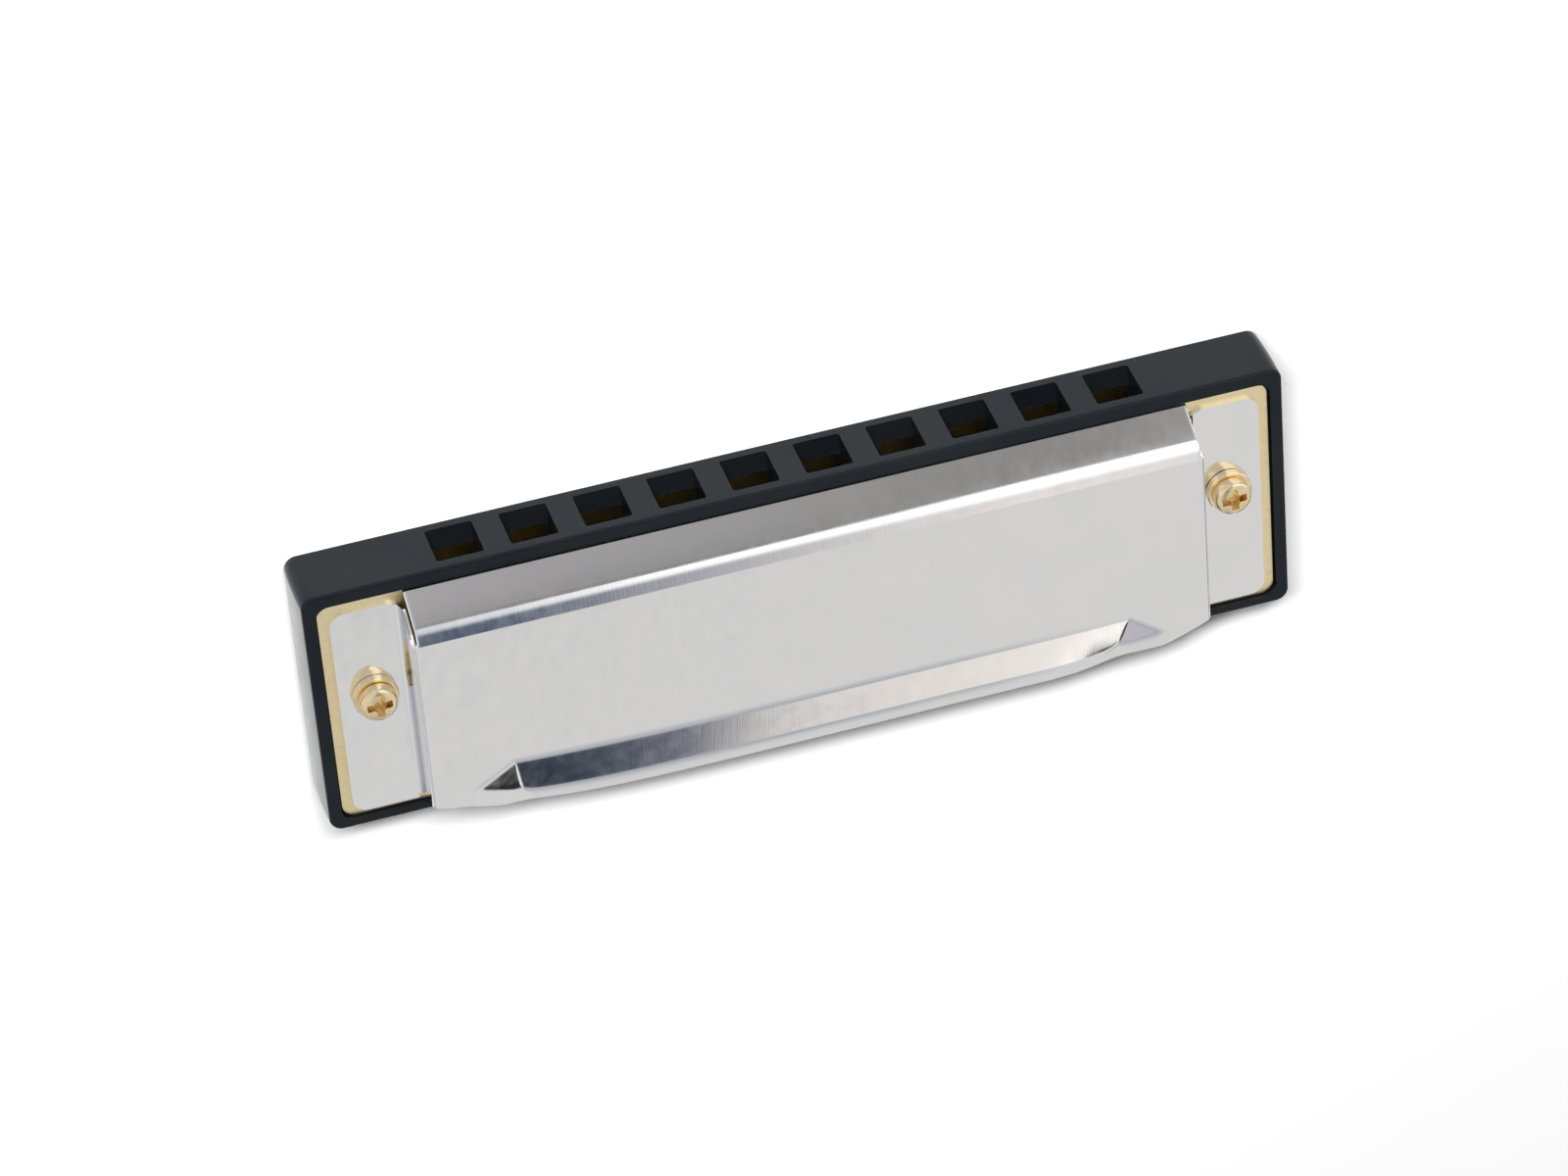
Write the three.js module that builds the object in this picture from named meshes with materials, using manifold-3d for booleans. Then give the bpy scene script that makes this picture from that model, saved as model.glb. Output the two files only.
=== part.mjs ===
// A ten-hole diatonic harmonica lying flat on its lower cover, in millimetres.
// X runs along the row of holes, -Y is the mouthpiece side, +Z is up.
// Hole 1, the lowest note with the longest reeds, is at the -X end.
// The pieces are laid out about the middle of the comb, and the group at the end
// lifts them so that the origin is the centre of the footprint, on the ground.
import * as THREE from "three";
import { mergeVertices } from "three/addons/utils/BufferGeometryUtils.js";
import Module from "manifold-3d";

// ---- Driving dimensions ----
const HOLE_COUNT = 10;
const PITCH = 7.5; // from one hole to the next
const HOLE_WIDTH = 4.76;
const HOLE_HEIGHT = 5.1;

const COMB_LENGTH = 100.5;
const COMB_DEPTH = 29;
const COMB_HEIGHT = 7.5; // over the rims that stand round each reed plate
const COMB_CORNER = 1.4;
const CORE_HALF = 2.4; // half the height of the core between the two reed plates

const PLATE_HALF_LENGTH = 48.7;
const PLATE_FRONT = -12.9;
const PLATE_REAR = 13.4;
const PLATE_THICKNESS = 0.8;
const PLATE_CORNER = 1.4;
const PLATE_GAP = 0.15; // between a plate and the wall of its pocket

const REED_THICKNESS = 0.25;
const REED_WIDTH = 2.1;
const REED_TIP_WIDTH = 1.9;
const REED_LONGEST = 16.5;
const REED_STEP = 0.65; // each reed is this much shorter than its lower neighbour
const REED_GAP = 0.15; // round the tongue in its slot
const BLOW_TIP = -9.8; // tips of the blow reeds, near the mouth
const DRAW_CLAMP = -8; // clamp line of the draw reeds
const FOOT_LENGTH = 2.6;
const FOOT_WIDTH = 2.5;
const CLAMP_GAP = 0.1; // from the clamp line to the foot on one side and the tongue on the other
const CHANNEL_SPARE = 3.3; // a channel reaches this far past the clamp line of its blow reed

const RIVET_RADIUS = 0.5;
const RIVET_HEAD_RADIUS = 0.75;
const RIVET_HEAD = 0.35;
const RIVET_CLOSED_HEAD = 0.2;
const RIVET_GAP = 0.1;

const SHEET = 0.4; // thickness of the cover metal
const COVER_TOP = 7.9;
const COVER_SLOPE = THREE.MathUtils.degToRad(58); // front slope, from the horizontal
const FRONT_BEND = 2.2;
const FRONT_BEND_END = -8.9; // where the bend over the front slope meets the flat top
const FOOT_HEIGHT = 3.5;
const SLOPE_HALF_WIDTH = 40.05;
const WALL_X = 40.45; // outer face of each end wall
const WALL_BEND = 0.5;
const FLANGE_BEND = 0.5;
const WALL_FRONT = -8.75;
const WALL_FRONT_FOOT = -10.4;
const RELIEF_START = 0.5; // the wall's front edge sweeps forward by this much round the foot bend,
const RELIEF_WIDTH = 1; // and reaches the flange's front this far out from it,
const RELIEF_LAG = 0.2; // but is still this far behind half way
const WALL_REAR = 11.1;
const FLANGE_END = 47.6;
const FLANGE_FRONT = -11.65;
const FLANGE_REAR = 12.85;
const FLANGE_CORNER = 1.5;

const SCOOP_DEPTH = 1.6; // the rear of the cover is pressed down by this much
const SCOOP_CREASE = 8.4; // its upper crease, parallel to the comb
const SCOOP_CORNER_X = 32.5;
const SCOOP_FLOOR_X = 31.7;
const SCOOP_FACET_X = 34.2; // a column half way along each end facet
const SCOOP_TIP_X = 36;
const SCOOP_TIP_Y = 10.8;
const SCOOP_TIP_GAP = 0.05; // between the two creases where they meet at a tip
const SCOOP_TIP_FADE = [0.6, 0.3]; // the rows of the creases run forward past the tips
const LIP_WIDTH = 1.25;
const LIP_BOW = 4.2; // the rear edge bows out by this much at the middle
const LIP_BOW_POWER = 4.6;

const SCREW_X = 44.05;
const SCREW_Y = -1.3;
const SCREW_RADIUS = 0.95;
const SCREW_HOLE = 1.3;
const SCREW_HEAD_RADIUS = 1.9;
const SCREW_HEAD = 1.4;
const SCREW_END = -5.7;
const SCREW_HEAD_ROUND = 0.45;
const SCREW_POINT = 0.25; // bevel at the end of the shank
const RECESS_WIDTH = 0.7;
const RECESS_LENGTH = 2.5;
const RECESS_DEPTH = 0.8;
const WASHER_RADIUS = 2.3;
const WASHER_BORE = 1.15;
const WASHER_THICKNESS = 0.9;
const WASHER_SPLIT = 0.4;
const NUT_FLATS = 4;
const NUT_THICKNESS = 1.6;
const NUT_BORE = 1.05;

const TACK_X = [-33.75, 0, 33.75]; // the small screws that hold each reed plate
const TACK_Y = 11.7;
const TACK_RADIUS = 0.7;
const TACK_HOLE = 1;
const TACK_HEAD_RADIUS = 1.4;
const TACK_HEAD = 0.7;
const TACK_END = 0.4;
const TACK_SLOT_WIDTH = 0.4;
const TACK_SLOT_DEPTH = 0.3;

const PAST = 1; // cutters reach this far past what they cut

// ---- Sizes that follow from them ----
const PLATE_TOP = CORE_HALF + PLATE_THICKNESS;
const FLANGE_TOP = PLATE_TOP + SHEET;
const LIP_REAR = WALL_REAR + LIP_BOW;
const COMB_FRONT = -COMB_DEPTH / 2;

const holeNumbers = Array.from({ length: HOLE_COUNT }, (_, i) => i + 1);
const holeX = (hole) => (hole - (HOLE_COUNT + 1) / 2) * PITCH;
const reedLength = (hole) => REED_LONGEST - REED_STEP * (hole - 1);
const blowClamp = (hole) => BLOW_TIP + reedLength(hole);
const channelEnd = (hole) => blowClamp(hole) + CHANNEL_SPARE;
const twoDigits = (hole) => String(hole).padStart(2, "0");

// ---- Materials ----
const finish = (color, roughness, metalness) =>
  new THREE.MeshStandardMaterial({ color, roughness, metalness });
const materials = {
  comb: finish(0x17191b, 0.35, 0),
  cover: finish(0xd6d6d8, 0.16, 1),
  plate: finish(0xdcc896, 0.45, 1),
  reed: finish(0xe3c777, 0.3, 1),
  rivet: finish(0xc9a85c, 0.35, 1),
  screw: finish(0xe0b96a, 0.22, 1),
  nut: finish(0xd9d4c4, 0.3, 1),
};

// ---- Solids ----
const wasm = await Module();
wasm.setup();

function solidOf(geometry) {
  const bare = geometry.clone();
  bare.deleteAttribute("normal");
  bare.deleteAttribute("uv");
  const merged = mergeVertices(bare, 1e-5);
  return new wasm.Manifold(
    new wasm.Mesh({
      numProp: 3,
      vertProperties: merged.attributes.position.array,
      triVerts: new Uint32Array(merged.index.array),
    }),
  );
}

function geometryOf(solid) {
  const mesh = solid.getMesh();
  const geometry = new THREE.BufferGeometry();
  geometry.setAttribute("position", new THREE.BufferAttribute(mesh.vertProperties, 3));
  geometry.setIndex(new THREE.BufferAttribute(mesh.triVerts, 1));
  geometry.computeVertexNormals();
  return geometry;
}

const cut = (body, cutters) =>
  cutters.reduce((rest, cutter) => rest.subtract(solidOf(cutter)), solidOf(body));
const join = (pieces) =>
  pieces.slice(1).reduce((whole, piece) => whole.add(solidOf(piece)), solidOf(pieces[0]));

function box(x, y, z) {
  const size = [x, y, z].map(([low, high]) => high - low);
  const middle = [x, y, z].map(([low, high]) => (high + low) / 2);
  return new THREE.BoxGeometry(...size).translate(...middle);
}

function rod(x, y, radius, low, high, sides) {
  return new THREE.CylinderGeometry(radius, radius, high - low, sides)
    .rotateX(Math.PI / 2)
    .translate(x, y, (low + high) / 2);
}

function roundedOutline(x0, x1, y0, y1, radius) {
  const shape = new THREE.Shape();
  const corner = (x, y, from) =>
    shape.absarc(x, y, radius, from, from + Math.PI / 2, false);
  corner(x1 - radius, y1 - radius, 0);
  corner(x0 + radius, y1 - radius, Math.PI / 2);
  corner(x0 + radius, y0 + radius, Math.PI);
  corner(x1 - radius, y0 + radius, 1.5 * Math.PI);
  shape.closePath();
  return shape;
}

function roundHole(x, y, radius) {
  const path = new THREE.Path();
  path.absarc(x, y, radius, 0, 2 * Math.PI, true);
  return path;
}

function slab(shape, low, high, curveSegments = 5) {
  const settings = { depth: high - low, bevelEnabled: false, curveSegments };
  return new THREE.ExtrudeGeometry(shape, settings).translate(0, 0, low);
}

// A sheet of even thickness from a grid of points on its outer face. Columns run along +X and
// rows along +Y; cells that hasCell leaves out are open. The edges are closed.
function sheet(rows, hasCell, thickness) {
  const width = rows[0].length;
  const outer = rows.flat();
  const normals = outer.map(() => new THREE.Vector3());
  const faces = [];
  for (let j = 0; j + 1 < rows.length; j++)
    for (let i = 0; i + 1 < width; i++) {
      if (!hasCell(j, i)) continue;
      const a = j * width + i;
      faces.push([a, a + 1, a + width + 1], [a, a + width + 1, a + width]);
    }
  const side = new THREE.Vector3();
  for (const [a, b, c] of faces) {
    const normal = outer[b].clone().sub(outer[a]).cross(side.subVectors(outer[c], outer[a]));
    for (const corner of [a, b, c]) normals[corner].add(normal);
  }
  const used = [...new Set(faces.flat())];
  const place = new Map(used.map((point, index) => [point, index]));
  const points = used.map((point) => outer[point]);
  for (const point of used)
    points.push(outer[point].clone().addScaledVector(normals[point].normalize(), -thickness));
  const edges = new Set(faces.flatMap(([a, b, c]) => [`${a},${b}`, `${b},${c}`, `${c},${a}`]));
  const index = [];
  for (const [a, b, c] of faces.map((face) => face.map((point) => place.get(point)))) {
    index.push(a, b, c);
    index.push(a + used.length, c + used.length, b + used.length);
  }
  for (const edge of edges) {
    const [from, to] = edge.split(",").map(Number);
    if (edges.has(`${to},${from}`)) continue;
    const [a, b] = [place.get(from), place.get(to)];
    index.push(a, a + used.length, b + used.length, a, b + used.length, b);
  }
  return new THREE.BufferGeometry().setFromPoints(points).setIndex(index);
}

// ---- Comb ----
function comb() {
  const half = COMB_LENGTH / 2;
  const pocketLength = PLATE_HALF_LENGTH + PLATE_GAP;
  const pocket = roundedOutline(
    -pocketLength, pocketLength, PLATE_FRONT - PLATE_GAP, PLATE_REAR + PLATE_GAP, PLATE_CORNER,
  );
  const rim = COMB_HEIGHT / 2;
  const body = slab(
    roundedOutline(-half, half, COMB_FRONT, COMB_DEPTH / 2, COMB_CORNER), -rim, rim,
  );
  const cutters = [slab(pocket, CORE_HALF, rim + PAST), slab(pocket, -rim - PAST, -CORE_HALF)];
  const through = [-rim - PAST, rim + PAST];
  for (const hole of holeNumbers) {
    const x = [holeX(hole) - HOLE_WIDTH / 2, holeX(hole) + HOLE_WIDTH / 2];
    const front = PLATE_FRONT - PLATE_GAP;
    cutters.push(box(x, [COMB_FRONT - PAST, front + PAST], [-HOLE_HEIGHT / 2, HOLE_HEIGHT / 2]));
    cutters.push(box(x, [front, channelEnd(hole)], through));
  }
  for (const x of [-SCREW_X, SCREW_X]) cutters.push(rod(x, SCREW_Y, SCREW_HOLE, ...through, 20));
  for (const x of TACK_X) cutters.push(rod(x, TACK_Y, TACK_HOLE, ...through, 16));
  return geometryOf(cut(body, cutters));
}

// ---- Reed plates ----
// Each slot runs from the clamp line to just past the tip, and each rivet has its hole.
function reedPlate(slotOf, rivetYOf) {
  const outline = roundedOutline(
    -PLATE_HALF_LENGTH, PLATE_HALF_LENGTH, PLATE_FRONT, PLATE_REAR, PLATE_CORNER,
  );
  const through = [CORE_HALF - PAST, PLATE_TOP + PAST];
  const slotHalf = REED_WIDTH / 2 + REED_GAP;
  const cutters = holeNumbers.flatMap((hole) => {
    const x = holeX(hole);
    const rivetHole = rod(x, rivetYOf(hole), RIVET_RADIUS + RIVET_GAP, ...through, 10);
    return [box([x - slotHalf, x + slotHalf], slotOf(hole), through), rivetHole];
  });
  for (const x of TACK_X) cutters.push(rod(x, TACK_Y, TACK_HOLE, ...through, 16));
  for (const x of [-SCREW_X, SCREW_X]) cutters.push(rod(x, SCREW_Y, SCREW_HOLE, ...through, 20));
  return geometryOf(cut(slab(outline, CORE_HALF, PLATE_TOP), cutters));
}

// ---- Reeds ----
// towards is +1 when the tongue reaches from the clamp line towards +Y, and -1 towards -Y.
const rivetY = (clamp, towards) => clamp - towards * (CLAMP_GAP + FOOT_LENGTH / 2);

function reedSlot(clamp, length, towards) {
  const ends = [clamp - (towards * CLAMP_GAP) / 2, clamp + towards * (length + REED_GAP)];
  return ends.sort((a, b) => a - b);
}

function reedTongue(x, clamp, length, towards, low) {
  const outline = [
    [-REED_WIDTH / 2, CLAMP_GAP / 2],
    [REED_WIDTH / 2, CLAMP_GAP / 2],
    [REED_TIP_WIDTH / 2, length],
    [-REED_TIP_WIDTH / 2, length],
  ].map(([across, along]) => new THREE.Vector2(x + across, clamp + towards * along));
  return slab(new THREE.Shape(outline), low, low + REED_THICKNESS);
}

// The clamped end of a reed and the rivet through it. The reed's head side is at low when
// the reed hangs under its plate, and the closed head is on the plate's far side.
function reedFoot(x, clamp, towards, plateLow, plateHigh) {
  const low = plateLow - REED_THICKNESS;
  const y = rivetY(clamp, towards);
  const ends = [clamp - towards * CLAMP_GAP, clamp - towards * (CLAMP_GAP + FOOT_LENGTH)];
  const headRadius = RIVET_HEAD_RADIUS;
  return geometryOf(
    join([
      box([x - FOOT_WIDTH / 2, x + FOOT_WIDTH / 2], ends.sort((a, b) => a - b), [low, plateLow]),
      rod(x, y, headRadius, low - RIVET_HEAD, low + REED_THICKNESS / 2, 10),
      rod(x, y, RIVET_RADIUS, low, plateHigh + RIVET_CLOSED_HEAD / 2, 10),
      rod(x, y, headRadius, plateHigh, plateHigh + RIVET_CLOSED_HEAD, 10),
    ]),
  );
}

// ---- Covers ----
const steps = (count) => Array.from({ length: count + 1 }, (_, i) => i / count);
const between = THREE.MathUtils.mapLinear;

// Rear edge of the cover in plan, bowed outwards.
const lipEdge = (x) =>
  WALL_REAR + LIP_BOW * (1 - Math.pow(Math.min(Math.abs(x) / WALL_X, 1), LIP_BOW_POWER));

// How far the rear of the cover is pressed down at x: all the way across the middle, then up
// again along the end facets.
function scoopDepth(x) {
  const share = between(Math.abs(x), SCOOP_FLOOR_X, SCOOP_TIP_X, 1, 0);
  return SCOOP_DEPTH * THREE.MathUtils.clamp(share, 0, 1);
}

// The three rear rows of the cover at x: upper crease, lower crease and rear edge.
function rearRows(x) {
  const out = Math.abs(x);
  const edge = lipEdge(x);
  const low = COVER_TOP - scoopDepth(x);
  const tipLower = SCOOP_TIP_Y + SCOOP_TIP_GAP;
  let upper = SCOOP_CREASE;
  let lower = edge - LIP_WIDTH;
  if (out > SCOOP_TIP_X) {
    const [fadeUpper, fadeLower] = SCOOP_TIP_FADE;
    upper = between(out, SCOOP_TIP_X, WALL_X, SCOOP_TIP_Y, SCOOP_TIP_Y - fadeUpper);
    lower = between(out, SCOOP_TIP_X, WALL_X, tipLower, tipLower - fadeLower);
    return [[upper, COVER_TOP], [lower, low], [edge, low]];
  }
  if (out > SCOOP_CORNER_X)
    upper = between(out, SCOOP_CORNER_X, SCOOP_TIP_X, SCOOP_CREASE, SCOOP_TIP_Y);
  if (out > SCOOP_FLOOR_X) {
    const start = lipEdge(SCOOP_FLOOR_X) - LIP_WIDTH;
    lower = between(out, SCOOP_FLOOR_X, SCOOP_TIP_X, start, tipLower);
  }
  return [[upper, COVER_TOP], [lower, low], [edge, low]];
}

// y and z down the front of the cover: the foot of the slope, then round the bend to the top.
function frontRows() {
  const bend = steps(5).map((t) => {
    const lean = COVER_SLOPE * (1 - t);
    const y = FRONT_BEND_END - FRONT_BEND * Math.sin(lean);
    return [y, COVER_TOP - FRONT_BEND * (1 - Math.cos(lean))];
  });
  const [slopeY, slopeZ] = bend[0];
  const foot = slopeY - (slopeZ - FOOT_HEIGHT) / Math.tan(COVER_SLOPE);
  return [[foot, FOOT_HEIGHT], ...bend];
}

// Columns of the half cover from the top's side outwards: x, z, where the wall or flange begins
// along Y, and how far the flange's rear edge is set back by its corner.
function sideColumns() {
  const columns = [];
  for (const t of steps(3).slice(1)) {
    const angle = (t * Math.PI) / 2;
    const x = WALL_X - WALL_BEND * (1 - Math.sin(angle));
    const z = COVER_TOP - WALL_BEND * (1 - Math.cos(angle));
    columns.push({ x, z, front: WALL_FRONT, back: 0 });
  }
  for (const t of steps(3)) {
    const angle = (t * Math.PI) / 2;
    const x = WALL_X + FLANGE_BEND * (1 - Math.cos(angle));
    const z = FLANGE_TOP + FLANGE_BEND * (1 - Math.sin(angle));
    columns.push({ x, z, front: WALL_FRONT_FOOT - RELIEF_START * t, back: 0 });
  }
  const inner = WALL_X + FLANGE_BEND;
  const lagging = FLANGE_FRONT + RELIEF_LAG;
  columns.push({ x: inner + RELIEF_WIDTH / 2, z: FLANGE_TOP, front: lagging, back: 0 });
  columns.push({ x: inner + RELIEF_WIDTH, z: FLANGE_TOP, front: FLANGE_FRONT, back: 0 });
  for (const t of steps(4)) {
    const angle = (t * Math.PI) / 2;
    const back = FLANGE_CORNER * (1 - Math.cos(angle));
    const x = FLANGE_END - FLANGE_CORNER * (1 - Math.sin(angle));
    columns.push({ x, z: FLANGE_TOP, front: FLANGE_FRONT + back, back });
  }
  return columns;
}

function cover() {
  const front = frontRows();
  const flat = [WALL_FRONT, -3, 3]; // rows across the flat top
  const lastFront = front.length - 1;
  const wallStart = front.length;
  const wallEnd = wallStart + flat.length + 2;
  const inside = [
    0, 7, 14, 20, 25, 28, SCOOP_FLOOR_X, SCOOP_CORNER_X, SCOOP_FACET_X, SCOOP_TIP_X, 37.8,
    WALL_X - WALL_BEND,
  ];
  const sides = sideColumns();
  const flangeStart = sides.findIndex((column) => column.z === FLANGE_TOP);

  // The last row only carries on the flange, so here it just runs on past the rear edge.
  const insidePoints = (x) => [
    ...front,
    ...flat.map((y) => [y, COVER_TOP]),
    ...rearRows(x),
    [lipEdge(x) + PAST, COVER_TOP],
  ].map(([y, z]) => new THREE.Vector3(x, y, z));

  const along = [...flat, ...rearRows(WALL_X - WALL_BEND).map(([y]) => y)];
  const sidePoints = (column, frontX) => [
    ...front.map(([y, z]) => new THREE.Vector3(frontX, y, z)),
    ...along.map((y) => {
      const placed = between(y, along[0], along.at(-1), column.front, WALL_REAR);
      return new THREE.Vector3(column.x, placed, column.z);
    }),
    new THREE.Vector3(column.x, FLANGE_REAR - column.back, column.z),
  ];
  const half = [
    ...inside.map(insidePoints),
    ...sides.map((column, i) => sidePoints(column, i === 0 ? SLOPE_HALF_WIDTH : column.x)),
  ];
  const mirrored = half.slice(1).reverse()
    .map((column) => column.map(({ x, y, z }) => new THREE.Vector3(-x, y, z)));
  const columns = [...mirrored, ...half];
  const middle = mirrored.length;
  const rows = columns[0].map((_, j) => columns.map((column) => column[j]));

  const hasCell = (j, i) => {
    const out = Math.max(i + 1 - middle, middle - i); // the cell's outer column, from the middle
    if (out < inside.length) return j < wallEnd;
    if (j < lastFront) return out === inside.length;
    if (j < wallStart) return false;
    if (j < wallEnd) return true;
    return out > inside.length + flangeStart;
  };
  const holes = [-SCREW_X, SCREW_X].map((x) => rod(x, SCREW_Y, SCREW_HOLE, 0, COVER_TOP, 20));
  return geometryOf(cut(sheet(rows, hasCell, SHEET), holes));
}

// ---- Fasteners ----
function coverScrew() {
  const low = FLANGE_TOP + WASHER_THICKNESS;
  const top = low + SCREW_HEAD;
  const middle = SCREW_HEAD_ROUND * (1 - Math.SQRT1_2); // how far the round edge's middle is in
  const profile = [
    [0, SCREW_END],
    [SCREW_RADIUS - SCREW_POINT, SCREW_END],
    [SCREW_RADIUS, SCREW_END + SCREW_POINT],
    [SCREW_RADIUS, low],
    [SCREW_HEAD_RADIUS, low],
    [SCREW_HEAD_RADIUS, top - SCREW_HEAD_ROUND],
    [SCREW_HEAD_RADIUS - middle, top - middle],
    [SCREW_HEAD_RADIUS - SCREW_HEAD_ROUND, top],
    [0, top],
  ].map(([radius, z]) => new THREE.Vector2(radius, z));
  const body = new THREE.LatheGeometry(profile, 20).rotateX(Math.PI / 2);
  const recess = [[RECESS_LENGTH, RECESS_WIDTH], [RECESS_WIDTH, RECESS_LENGTH]].map(([x, y]) =>
    box([-x / 2, x / 2], [-y / 2, y / 2], [top - RECESS_DEPTH, top + PAST]),
  );
  return geometryOf(cut(body, recess));
}

function lockWasher() {
  const shape = new THREE.Shape();
  const halfSplit = Math.asin(WASHER_SPLIT / 2 / WASHER_BORE);
  shape.absarc(0, 0, WASHER_RADIUS, halfSplit, 2 * Math.PI - halfSplit, false);
  shape.absarc(0, 0, WASHER_BORE, 2 * Math.PI - halfSplit, halfSplit, true);
  shape.closePath();
  return slab(shape, FLANGE_TOP, FLANGE_TOP + WASHER_THICKNESS, 10);
}

function nut() {
  const shape = new THREE.Shape(
    Array.from({ length: 6 }, (_, i) => {
      const angle = (i * Math.PI) / 3;
      const radius = NUT_FLATS / Math.sqrt(3);
      return new THREE.Vector2(radius * Math.cos(angle), radius * Math.sin(angle));
    }),
  );
  shape.holes.push(roundHole(0, 0, NUT_BORE));
  return slab(shape, -FLANGE_TOP - NUT_THICKNESS, -FLANGE_TOP, 8);
}

// A small slotted screw, head up, through a reed plate into the comb.
function plateTack() {
  const shaft = join([
    rod(0, 0, TACK_RADIUS, TACK_END, PLATE_TOP + TACK_HEAD / 2, 10),
    rod(0, 0, TACK_HEAD_RADIUS, PLATE_TOP, PLATE_TOP + TACK_HEAD, 16),
  ]);
  const top = PLATE_TOP + TACK_HEAD;
  const along = [-TACK_HEAD_RADIUS - PAST, TACK_HEAD_RADIUS + PAST];
  const across = [-TACK_SLOT_WIDTH / 2, TACK_SLOT_WIDTH / 2];
  const slot = box(along, across, [top - TACK_SLOT_DEPTH, top + PAST]);
  return geometryOf(shaft.subtract(solidOf(slot)));
}

// ---- Assembly ----
const harmonica = new THREE.Group();
harmonica.position.set(0, -(COMB_FRONT + LIP_REAR) / 2, COVER_TOP);

function add(name, geometry, material) {
  const mesh = new THREE.Mesh(geometry, material);
  mesh.name = name;
  harmonica.add(mesh);
  return mesh;
}

add("comb", comb(), materials.comb);

const blowSlot = (hole) => reedSlot(blowClamp(hole), reedLength(hole), -1);
const drawSlot = (hole) => reedSlot(DRAW_CLAMP, reedLength(hole), 1);
const upperPlate = reedPlate(blowSlot, (hole) => rivetY(blowClamp(hole), -1));
const lowerPlate = reedPlate(drawSlot, () => rivetY(DRAW_CLAMP, 1));
add("upper_reed_plate", upperPlate, materials.plate);
add("lower_reed_plate", lowerPlate.translate(0, 0, -CORE_HALF - PLATE_TOP), materials.plate);

// Blow reeds hang inside the comb under the upper plate, and draw reeds outside it under the
// lower plate.
for (const hole of holeNumbers) {
  const x = holeX(hole);
  const length = reedLength(hole);
  const number = twoDigits(hole);
  const clamp = blowClamp(hole);
  const blowLow = CORE_HALF - REED_THICKNESS;
  const drawLow = -PLATE_TOP - REED_THICKNESS;
  add(`blow_reed_${number}`, reedTongue(x, clamp, length, -1, blowLow), materials.reed);
  add(`blow_reed_foot_${number}`, reedFoot(x, clamp, -1, CORE_HALF, PLATE_TOP), materials.rivet);
  add(`draw_reed_${number}`, reedTongue(x, DRAW_CLAMP, length, 1, drawLow), materials.reed);
  add(`draw_reed_foot_${number}`, reedFoot(x, DRAW_CLAMP, 1, -PLATE_TOP, -CORE_HALF), materials.rivet);
}

add("upper_cover", cover(), materials.cover);
add("lower_cover", cover(), materials.cover).rotation.y = Math.PI;

const ends = { left: -SCREW_X, right: SCREW_X };
for (const [end, x] of Object.entries(ends)) {
  add(`cover_screw_${end}`, coverScrew(), materials.screw).position.set(x, SCREW_Y, 0);
  add(`lock_washer_${end}`, lockWasher(), materials.screw).position.set(x, SCREW_Y, 0);
  add(`cover_nut_${end}`, nut(), materials.nut).position.set(x, SCREW_Y, 0);
}

TACK_X.forEach((x, i) => {
  add(`upper_plate_screw_${i + 1}`, plateTack(), materials.rivet).position.set(x, TACK_Y, 0);
  const lower = add(`lower_plate_screw_${i + 1}`, plateTack(), materials.rivet);
  lower.position.set(x, TACK_Y, 0);
  lower.rotation.y = Math.PI;
});

export default harmonica;
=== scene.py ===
"""A ten-hole diatonic harmonica in black plastic, brass and polished steel, round its CAD frame.

Sizes are in millimetres about the middle of the comb, as the CAD is laid out: X runs along the
holes, -Y is the mouthpiece side and +Z is up. A piece is moved into the frame, in metres, when its
object is made. Places come from the boxes of the CAD nodes."""

import math

import bmesh
import bpy
from mathutils import Matrix, Vector


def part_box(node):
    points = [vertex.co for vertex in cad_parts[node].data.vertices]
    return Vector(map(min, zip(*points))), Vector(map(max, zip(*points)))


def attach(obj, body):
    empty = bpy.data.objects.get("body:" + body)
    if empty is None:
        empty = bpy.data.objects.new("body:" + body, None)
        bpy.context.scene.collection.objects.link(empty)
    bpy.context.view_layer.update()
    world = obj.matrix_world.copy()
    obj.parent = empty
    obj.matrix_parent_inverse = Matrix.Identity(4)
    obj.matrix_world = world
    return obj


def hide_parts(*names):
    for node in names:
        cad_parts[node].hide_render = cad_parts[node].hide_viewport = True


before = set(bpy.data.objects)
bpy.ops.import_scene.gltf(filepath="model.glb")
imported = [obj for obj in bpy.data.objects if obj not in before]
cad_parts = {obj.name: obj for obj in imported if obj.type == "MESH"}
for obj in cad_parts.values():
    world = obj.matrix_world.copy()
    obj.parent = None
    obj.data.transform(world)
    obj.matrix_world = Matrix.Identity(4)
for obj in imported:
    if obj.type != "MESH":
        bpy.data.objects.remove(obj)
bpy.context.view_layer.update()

MM = 0.001
MIDDLE = sum(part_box("comb"), Vector()) / 2


def span(node):
    """Lowest and highest corner of a CAD node, in millimetres about the middle of the comb."""
    return [(corner - MIDDLE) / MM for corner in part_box(node)]


# ---- Sizes, in millimetres ----
HOLES = range(1, 11)
PITCH = 7.5
HOLE_WIDTH = 4.76
HOLE_HEIGHT = 5.1
HOLE_CORNER = 0.25
THROAT_HEIGHT = 4.3  # behind the mouth each hole narrows, past the front edges of the plates
THROAT_FRONT = -13.4
THROAT_REAR = -12.4
THROAT_LAPS = (0.1, 0.5)  # how far a throat reaches into its mouth and into its channel
CHANNEL_CORNER = 0.4
CHANNEL_SPARE = 3.3  # a channel goes on behind the clamp line of its blow reed by this much

COMB = span("comb")[1]
COMB_CORNER = 1.35
RIM_ROUND = 0.36
END_BULGE = 0.12  # the ends of the comb belly out by this much between their edges

PLATE_LOW, PLATE_HIGH = span("upper_reed_plate")
PLATE_CORNER = 1.4
PLATE_GAP = 0.15

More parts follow.
